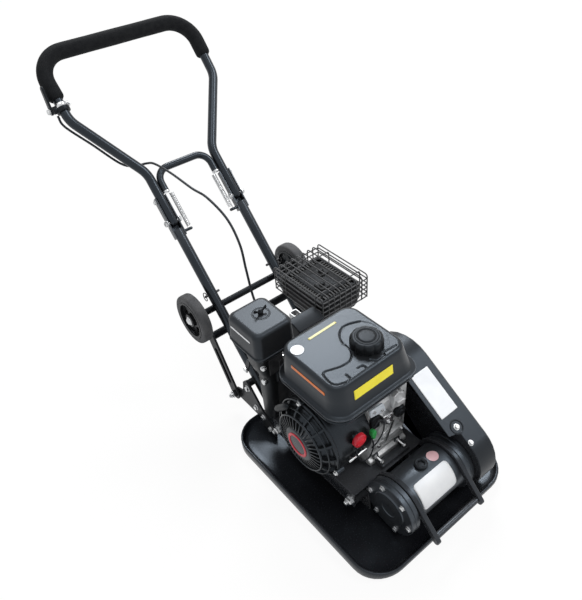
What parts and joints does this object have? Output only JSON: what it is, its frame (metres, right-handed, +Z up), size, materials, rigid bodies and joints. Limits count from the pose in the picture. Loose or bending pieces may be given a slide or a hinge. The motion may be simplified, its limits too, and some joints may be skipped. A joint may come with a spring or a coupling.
{
  "type": "plate compactor",
  "caption": "Walk-behind plate compactor: ramped base pan, front exciter, belt-driven small engine, caged muffler, swing-up wheels and a folding padded handle.",
  "frame": {"origin": "centre of the flat underside of the base plate", "axes": "+Z up, -Y to the front (exciter end), +Y to the handle, -X to the pull starter and +X to the belt guard"},
  "size_m": [0.4811, 1.2645, 0.8541],
  "materials": {
    "black_paint": "gloss black enamel",
    "black_plastic": "fine-grained moulded black",
    "tank_paint": "satin charcoal enamel",
    "zinc_steel": "zinc plated",
    "cast_aluminium": "as cast",
    "cast_iron": "machined",
    "black_rubber": "matt",
    "grey_tyre": "matt grey",
    "foam": "closed-cell foam",
    "red_plastic": "gloss red"
  },
  "bodies": {
    "machine": {"air_filter_cover": "black_plastic", "air_filter_tray": "black_plastic", "base_plate": "black_paint", "belt_guard": "black_plastic", "carburettor": "cast_aluminium", "crankcase": "cast_aluminium", "cylinder": "cast_aluminium", "drive_belt": "black_rubber", "engine_deck": "black_paint", "exciter_bearing_left": "zinc_steel", "exciter_bearing_right": "zinc_steel", "exciter_cover_left": "black_paint", "exciter_cover_right": "black_paint", "exciter_housing": "black_paint", "fan_housing": "black_plastic", "filler_plug": "black_plastic", "fold_bolt_left": "zinc_steel", "fold_bolt_right": "zinc_steel", "front_bar": "black_paint", "fuel_tank": "tank_paint", "guard_back_plate": "black_paint", "heat_shield": "black_paint", "latch_spring_left": "zinc_steel", "latch_spring_right": "zinc_steel", "lower_handle": "black_paint", "muffler": "black_paint", "muffler_cage": "black_paint", "rear_bracket_left": "black_paint", "rear_bracket_right": "black_paint", "recoil_starter": "black_plastic", "rocker_cover": "black_paint", "rubber_mount_left_front": "black_rubber", "rubber_mount_left_rear": "black_rubber", "rubber_mount_right_front": "black_rubber", "rubber_mount_right_rear": "black_rubber", "strap_left": "black_paint", "strap_right": "black_paint", "throttle_cable": "black_rubber"},
    "handle": {"upper_handle": "black_paint", "foam_grip": "foam", "throttle_clamp": "black_plastic"},
    "thumb_lever": {"throttle_lever": "black_plastic"},
    "carburettor_arm": {"carburettor_throttle": "zinc_steel"},
    "choke": {"choke_lever": "black_plastic"},
    "stop_switch": {"engine_switch": "red_plastic"},
    "pull_grip": {"starter_grip": "black_plastic"},
    "tank_cap": {"fuel_cap": "black_plastic"},
    "wing_nut": {"filter_wing_nut": "black_plastic"},
    "latch": {"latch_hoop": "black_paint"},
    "wheel_carrier": {"wheel_frame": "black_paint", "axle": "black_paint"},
    "wheel_left": {"tyre_left": "grey_tyre", "wheel_rim_left": "black_plastic"},
    "wheel_right": {"tyre_right": "grey_tyre", "wheel_rim_right": "black_plastic"},
    "crank": {"crankshaft": "zinc_steel", "flywheel": "cast_iron", "clutch_drum": "cast_iron"},
    "exciter_rotor": {"exciter_shaft": "zinc_steel", "exciter_pulley": "cast_iron"}
  },
  "joints": [
    {"name": "handle_fold", "type": "hinge", "parent": "machine", "child": "handle", "pos_m": [0, 0.61078, 0.4633], "axis": [1, 0, 0], "range_deg": [0, 120], "deforming": ["throttle_cable"]},
    {"name": "thumb_throttle", "type": "hinge", "parent": "handle", "child": "thumb_lever", "pos_m": [-0.2405, 0.85663, 0.73443], "axis": [1, 0, 0], "range_deg": [0, 50]},
    {"name": "carburettor_throttle_turn", "type": "hinge", "parent": "machine", "child": "carburettor_arm", "pos_m": [-0.07, 0.194, 0.2883], "axis": [0, 0, 1], "range_deg": [0, 35]},
    {"name": "choke_turn", "type": "hinge", "parent": "machine", "child": "choke", "pos_m": [-0.088, 0.1685, 0.268], "axis": [0, 1, 0], "range_deg": [0, 60]},
    {"name": "switch_turn", "type": "hinge", "parent": "machine", "child": "stop_switch", "pos_m": [-0.103, -0.0775, 0.236], "axis": [0, -1, 0], "range_deg": [0, 60]},
    {"name": "starter_pull", "type": "slide", "parent": "machine", "child": "pull_grip", "axis": [-0.5499, 0.6198, 0.5599], "range_m": [0, 0.5], "stiffness_N_per_m": 20, "springref_m": -0.25},
    {"name": "cap_turn", "type": "hinge", "parent": "machine", "child": "tank_cap", "pos_m": [-0.02, -0.02, 0.415], "axis": [0, 0, 1], "range_deg": [0, 90]},
    {"name": "wing_nut_turn", "type": "hinge", "parent": "machine", "child": "wing_nut", "pos_m": [-0.125, 0.204, 0.4203], "axis": [0, 0, 1], "continuous": true},
    {"name": "latch_pull", "type": "slide", "parent": "machine", "child": "latch", "axis": [0, 0.6717, 0.7408], "range_m": [0, 0.02], "stiffness_N_per_m": 800, "springref_m": -0.012, "deforming": ["latch_spring_left", "latch_spring_right"]},
    {"name": "wheel_swing", "type": "hinge", "parent": "machine", "child": "wheel_carrier", "pos_m": [0, 0.352, 0.05], "axis": [1, 0, 0], "range_deg": [-57, 0]},
    {"name": "wheel_left_spin", "type": "hinge", "parent": "wheel_carrier", "child": "wheel_left", "pos_m": [-0.165, 0.465, 0.2615], "axis": [1, 0, 0], "continuous": true},
    {"name": "wheel_right_spin", "type": "hinge", "parent": "wheel_carrier", "child": "wheel_right", "pos_m": [0.165, 0.465, 0.2615], "axis": [1, 0, 0], "continuous": true},
    {"name": "crank_spin", "type": "hinge", "parent": "machine", "child": "crank", "pos_m": [0, 0.015, 0.198], "axis": [1, 0, 0], "continuous": true},
    {"name": "exciter_spin", "type": "hinge", "parent": "machine", "child": "exciter_rotor", "pos_m": [0, -0.18, 0.086], "axis": [1, 0, 0], "continuous": true}
  ],
  "couplings": [
    {"joint": "carburettor_throttle_turn", "follows": "thumb_throttle", "ratio": 0.7},
    {"joint": "exciter_spin", "follows": "crank_spin", "ratio": 1.3889}
  ]
}
